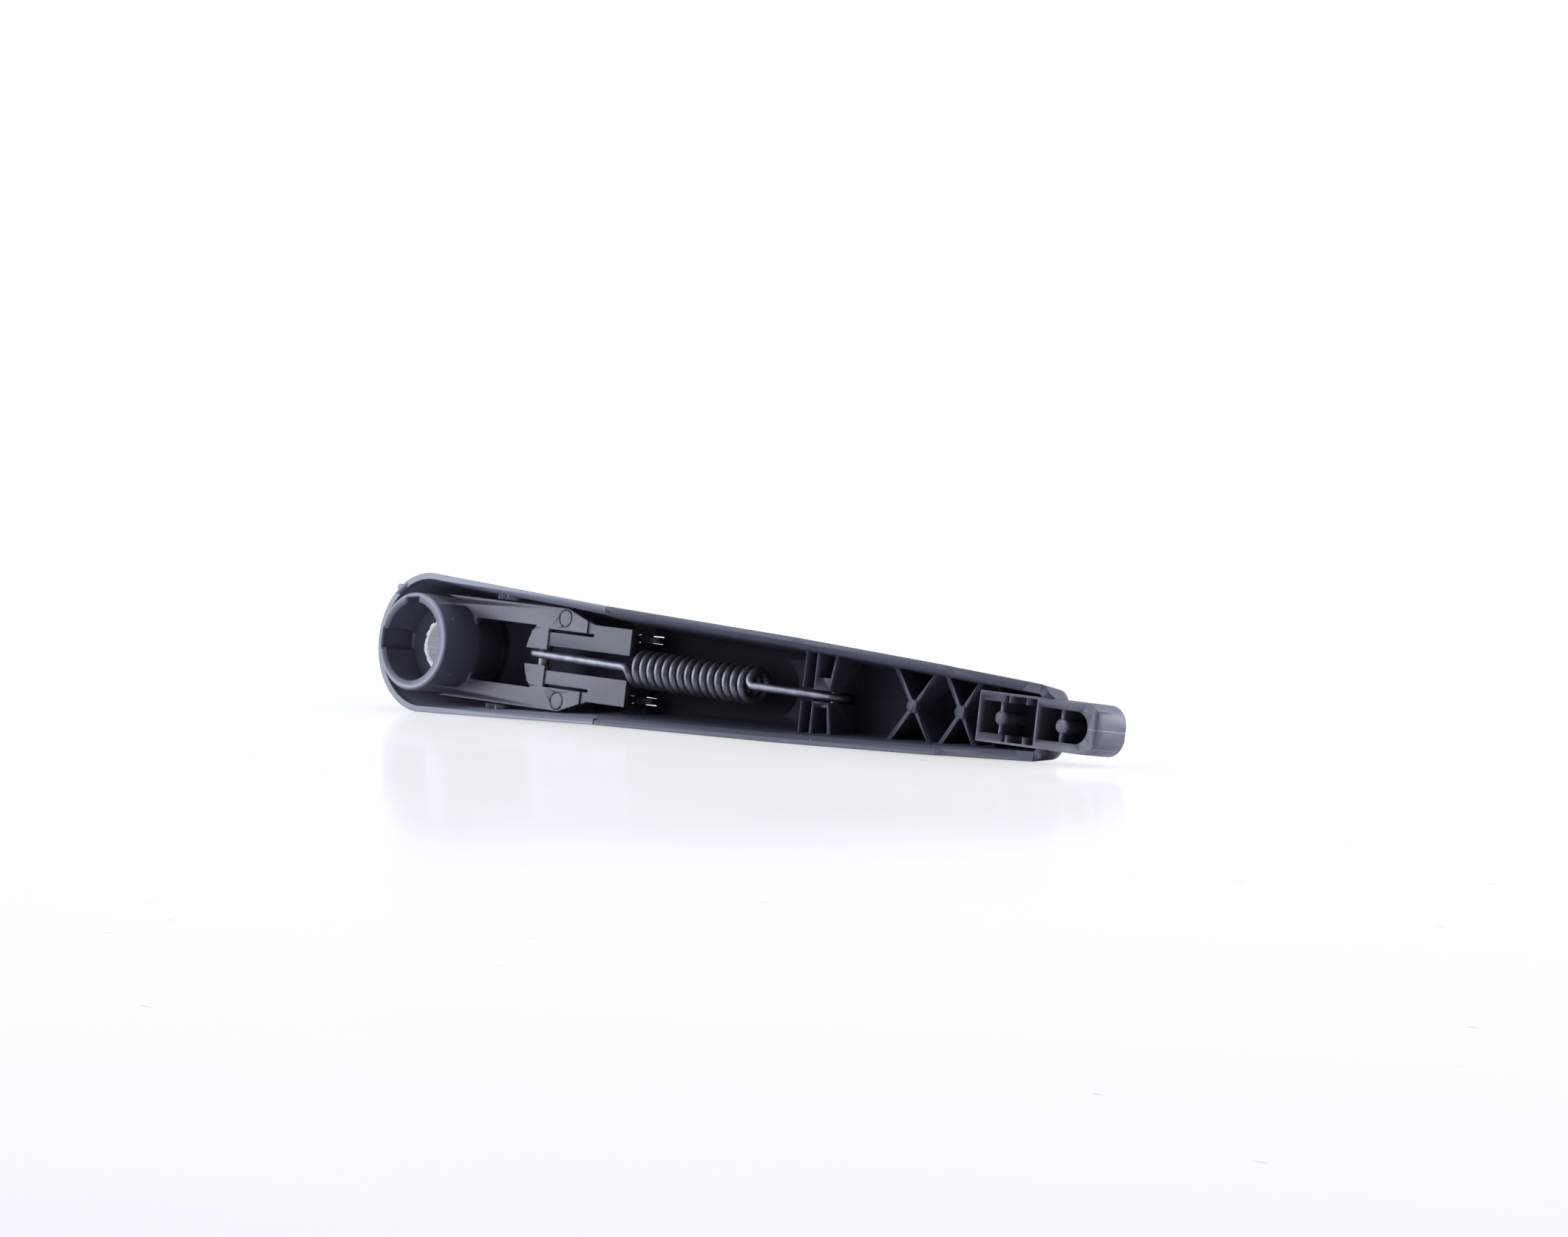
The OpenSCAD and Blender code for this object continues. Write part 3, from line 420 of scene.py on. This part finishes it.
WIRE_R = 1.0 * MM
COIL_R = 3.7 * MM
TURNS = 16
COIL_START, COIL_END = 68.5 * MM, 109.0 * MM
BEND_R = 2.0 * MM
HOOK_R = 2.55 * MM
AXIS_LEVEL = -1.85 * MM
HEAD_PIN_LEVEL = -0.8 * MM
ARM_PIN_LEVEL = 0.7 * MM
HEAD_PIN, ARM_PIN = 33.8 * MM, 132.0 * MM
HEAD_SIDE, ARM_SIDE = 0.7 * MM, -0.5 * MM
HOOK_TURN = 195


def wire_side(x):
    return HEAD_SIDE + (ARM_SIDE - HEAD_SIDE) * (x - HEAD_PIN) / (ARM_PIN - HEAD_PIN)


def hook_line(pin, level, side, start, stop, steps=24):
    for i in range(steps + 1):
        a = math.radians(start + (stop - start) * i / steps)
        yield pin + HOOK_R * math.cos(a), level + HOOK_R * math.sin(a), side


def bend_line(x, turn, angles):
    for angle in angles:
        a = math.radians(angle)
        drop = BEND_R * (1 - math.cos(a))
        yield (x + turn * BEND_R * (math.sin(a) - 1),
               AXIS_LEVEL - math.sqrt(COIL_R ** 2 - drop ** 2),
               wire_side(x) - turn * drop)


def coil_line(steps=512):
    lean = math.degrees(math.acos(BEND_R / COIL_R))
    first, last = -lean, 360 * TURNS - 180 + lean
    for i in range(steps + 1):
        a = math.radians(first + (last - first) * i / steps)
        x = COIL_START + (COIL_END - COIL_START) * i / steps
        yield x, AXIS_LEVEL + COIL_R * math.sin(a), wire_side(x) - COIL_R * math.cos(a)


wire_line = [*hook_line(HEAD_PIN, HEAD_PIN_LEVEL, HEAD_SIDE, 270 - HOOK_TURN, 270),
             *bend_line(COIL_START, 1, range(0, 90, 10)), *coil_line(),
             *bend_line(COIL_END, -1, range(80, -10, -10)),
             *hook_line(ARM_PIN, ARM_PIN_LEVEL, ARM_SIDE, 270, 270 + HOOK_TURN)]
wire = bpy.data.curves.new("spring_wire", "CURVE")
wire.dimensions = "3D"
wire.bevel_depth = WIRE_R
wire.bevel_resolution = 4
wire.use_fill_caps = True
run = wire.splines.new("POLY")
run.points.add(len(wire_line) - 1)
for point, place in zip(run.points, wire_line):
    point.co = (*place, 1)
drawn = bpy.data.objects.new("drawn_wire", wire)
bpy.context.scene.collection.objects.link(drawn)
mesh = bpy.data.meshes.new_from_object(drawn)
bpy.data.objects.remove(drawn)
for face in mesh.polygons:
    face.use_smooth = True
spring_steel = dull_metal("dark spring wire", dark=(0.095, 0.097, 0.115),
                          light=(0.185, 0.190, 0.225), gloss=(0.36, 0.46), scale=420.0)
mesh.materials.clear()
mesh.materials.append(spring_steel)
spring = bpy.data.objects.new("spring_wire", mesh)
bpy.context.scene.collection.objects.link(spring)
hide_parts("tension_spring")
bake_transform(spring)

# Blade adapter
# The tongue that the blade's clip slides on, with pockets, side notches and a rounded nose. It
# is moulded in a greyer plastic, its edges are worn pale, and the nose shows a parting line.
# Its pockets, back from the nose, are darkened with painted shade.

adapter_plastic = plastic("adapter plastic", light=(0.090, 0.092, 0.119),
                          dark=(0.066, 0.068, 0.088), gloss=(0.38, 0.50), worn=(0.27, 0.276, 0.32),
                          deep_shade=(-8.2 * MM, -7.4 * MM, (0.022, 0.023, 0.030), 217.2 * MM), wear=0.9,
                          radius=0.3 * MM, bump=0.08, specular=0.38, seam=216.6 * MM)
smooth_moulding("blade_adapter", "adapter_moulding", "arm", adapter_plastic)

# Floor
# A pale glossy table top with a few scuffs. The arm lies on its lower wall, so the top follows
# that wall's slope. Behind, it rolls away to leave room for the lifted arm and the flipped cap.

FLOOR_ORIGIN = -0.0161
FLOOR_ALONG = 0.0393
FLOOR_ACROSS = 0.126
ROLL_START = 0.006
ROLL_LENGTH = 0.028
ROLL_STEPS = 12
LOW_LEVEL = -0.0192
CLOUD_SCALE = 9.0
SCUFF_SCALE = 85.0
SCUFF_TURN = 0.5
GLOW_SHARE = 0.60

bm = bmesh.new()
xs = [-3.0, -0.6, -0.2, -0.1, 0.0, 0.1, 0.2, 0.3, 0.5, 1.2, 3.0]
ys = [-3.0, -0.8, -0.3, -0.1, -0.04]
ys += [ROLL_START + ROLL_LENGTH * i / ROLL_STEPS for i in range(ROLL_STEPS + 1)]
ys += [0.1, 0.4, 1.5, 4.0]
bmesh.ops.create_grid(bm, x_segments=len(xs) - 1, y_segments=len(ys) - 1, size=0.5)
bm.verts.ensure_lookup_table()
for vert in bm.verts:
    x = xs[round((vert.co.x + 0.5) * (len(xs) - 1))]
    y = ys[round((vert.co.y + 0.5) * (len(ys) - 1))]
    top = FLOOR_ORIGIN + FLOOR_ALONG * x + FLOOR_ACROSS * min(y, ROLL_START)
    t = min(max((y - ROLL_START) / ROLL_LENGTH, 0.0), 1.0)
    ease = t * t * (3 - 2 * t)
    vert.co = (x, y, top + (min(LOW_LEVEL, top) - top) * ease)
mesh = bpy.data.meshes.new("table_top")
bm.to_mesh(mesh)
bm.free()
for face in mesh.polygons:
    face.use_smooth = True
table = bpy.data.objects.new("table_top", mesh)
bpy.context.scene.collection.objects.link(table)
white_top = bpy.data.materials.new("white glossy top")
white_top.use_nodes = True
tree = white_top.node_tree
shader = tree.nodes["Principled BSDF"]
glow = tree.nodes.new("ShaderNodeEmission")
glow.inputs["Strength"].default_value = 1.0
clouds = noise_node(tree, CLOUD_SCALE, 5.0, 0.6, (0.4, 1.0, 1.0))
coords = tree.nodes.new("ShaderNodeTexCoord")
turned = tree.nodes.new("ShaderNodeMapping")
turned.inputs["Rotation"].default_value = (0, 0, SCUFF_TURN)
turned.inputs["Scale"].default_value = (0.3, 1.0, 1.0)
tree.links.new(coords.outputs["Object"], turned.inputs["Vector"])
scuffs = tree.nodes.new("ShaderNodeTexVoronoi")
scuffs.inputs["Scale"].default_value = SCUFF_SCALE
tree.links.new(turned.outputs["Vector"], scuffs.inputs["Vector"])
scuffed = spread(tree, scuffs.outputs["Distance"], 0.018, 0.045, 1.0, 0.0)
cloudy = spread(tree, clouds.outputs["Fac"], 0.35, 0.65, 0.0, 1.0)
white = blend_colors(tree, cloudy, (0.90, 0.905, 0.94), (0.95, 0.95, 0.975))
top_color = blend_colors(tree, scuffed, white, (0.62, 0.63, 0.68))
tree.links.new(top_color, shader.inputs["Base Color"])
tree.links.new(spread(tree, clouds.outputs["Fac"], 0.3, 0.7, 0.10, 0.17),
               shader.inputs["Roughness"])
tree.links.new(blend_colors(tree, scuffed, (0.97, 0.98, 1.0), (0.68, 0.69, 0.73)),
               glow.inputs["Color"])
path = tree.nodes.new("ShaderNodeLightPath")
share = arithmetic(tree, "MULTIPLY", path.outputs["Is Camera Ray"], GLOW_SHARE)
mix = tree.nodes.new("ShaderNodeMixShader")
tree.links.new(share, mix.inputs["Fac"])
tree.links.new(shader.outputs["BSDF"], mix.inputs[1])
tree.links.new(glow.outputs["Emission"], mix.inputs[2])
tree.links.new(mix.outputs["Shader"], tree.nodes["Material Output"].inputs["Surface"])
mesh.materials.append(white_top)

# Light
# A wide soft box above, one in front on the hub's side, and one behind the tip. A narrow spot
# lights the bush, and the room around is white.

COOL_WHITE = (0.88, 0.92, 1.0)


def soft_box(name, place, aim, size, watts):
    lamp = bpy.data.lights.new(name, "AREA")
    lamp.shape = "RECTANGLE"
    lamp.size, lamp.size_y = size
    lamp.energy = watts
    lamp.color = COOL_WHITE
    holder = bpy.data.objects.new(name, lamp)
    holder.location = place
    holder.rotation_euler = (Vector(aim) - Vector(place)).to_track_quat("-Z", "Y").to_euler()
    bpy.context.scene.collection.objects.link(holder)


soft_box("top_box", place=(0.05, 0.1, 0.9), aim=(0.1, 0.0, 0.0), size=(1.2, 0.9), watts=7.5)
soft_box("hub_side_box", place=(-0.42, -0.45, 0.16), aim=(0.02, 0.0, 0.0), size=(0.5, 0.5),
         watts=5.0)
soft_box("tip_back_box", place=(0.55, 0.40, 0.30), aim=(0.20, 0.0, 0.0), size=(0.45, 0.45),
         watts=5.5)

# The spot reaches down the collar and into the bush.
SPOT_PLACE = (0.23, -0.56, 0.03)
SPOT_WATTS = 14.0
SPOT_DEGREES = 1.7
spot = bpy.data.lights.new("bush_spot", "SPOT")
spot.energy = SPOT_WATTS
spot.color = COOL_WHITE
spot.spot_size = math.radians(SPOT_DEGREES)
spot.spot_blend = 0.4
spot.shadow_soft_size = 0.01
spot_holder = bpy.data.objects.new("bush_spot", spot)
spot_holder.location = SPOT_PLACE
spot_holder.rotation_euler = (-spot_holder.location).to_track_quat("-Z", "Y").to_euler()
bpy.context.scene.collection.objects.link(spot_holder)

# The room is white all round, and dim on the camera's side.
OPEN_SIDE = (0.45, -0.89, 0.0)
DIM_LEVEL = 0.2
SOFT_LEVEL = 0.5
world = bpy.data.worlds.new("white studio")
bpy.context.scene.world = world
world.use_nodes = True
tree = world.node_tree
plain = tree.nodes["Background"]
path = tree.nodes.new("ShaderNodeLightPath")
coords = tree.nodes.new("ShaderNodeTexCoord")
toward = tree.nodes.new("ShaderNodeVectorMath")
toward.operation = "DOT_PRODUCT"
toward.inputs[1].default_value = OPEN_SIDE
tree.links.new(coords.outputs["Generated"], toward.inputs[0])
dim = spread(tree, toward.outputs["Value"], 0.0, 0.8, 1.0, DIM_LEVEL)
mirrored = arithmetic(tree, "MAXIMUM", path.outputs["Is Glossy Ray"],
                      path.outputs["Is Transmission Ray"])
room = spread(tree, mirrored, 0.0, 1.0, SOFT_LEVEL, dim)
tree.links.new(arithmetic(tree, "MAXIMUM", room, path.outputs["Is Camera Ray"]),
               plain.inputs["Strength"])
tree.links.new(blend_colors(tree, path.outputs["Is Camera Ray"], COOL_WHITE, (1.0, 1.0, 1.0)),
               plain.inputs["Color"])

# Camera
# A long lens on the open side, a little above the table. Its place, axes and focal length come
# from a fit to the arm's outline in the photo.

SENSOR_MM = 36.0
FOCAL_MM = 118.27
CAMERA_PLACE = Vector((0.95413, -0.87491, 0.01972))
RIGHT = Vector((0.71581, 0.68878, 0.11488))
UP = Vector((-0.08469, -0.07767, 0.99338))
BACK = Vector((0.69314, -0.72080, 0.00274))
lens = bpy.data.cameras.new("camera")
lens.sensor_width = SENSOR_MM
lens.lens = FOCAL_MM
lens.clip_start, lens.clip_end = 0.05, 50.0
camera = bpy.data.objects.new("camera", lens)
camera_axes = Matrix((RIGHT, UP, BACK)).transposed().to_4x4()
camera.matrix_world = Matrix.Translation(CAMERA_PLACE) @ camera_axes
bpy.context.scene.collection.objects.link(camera)
bpy.context.scene.camera = camera
bpy.context.scene.view_settings.view_transform = "Standard"
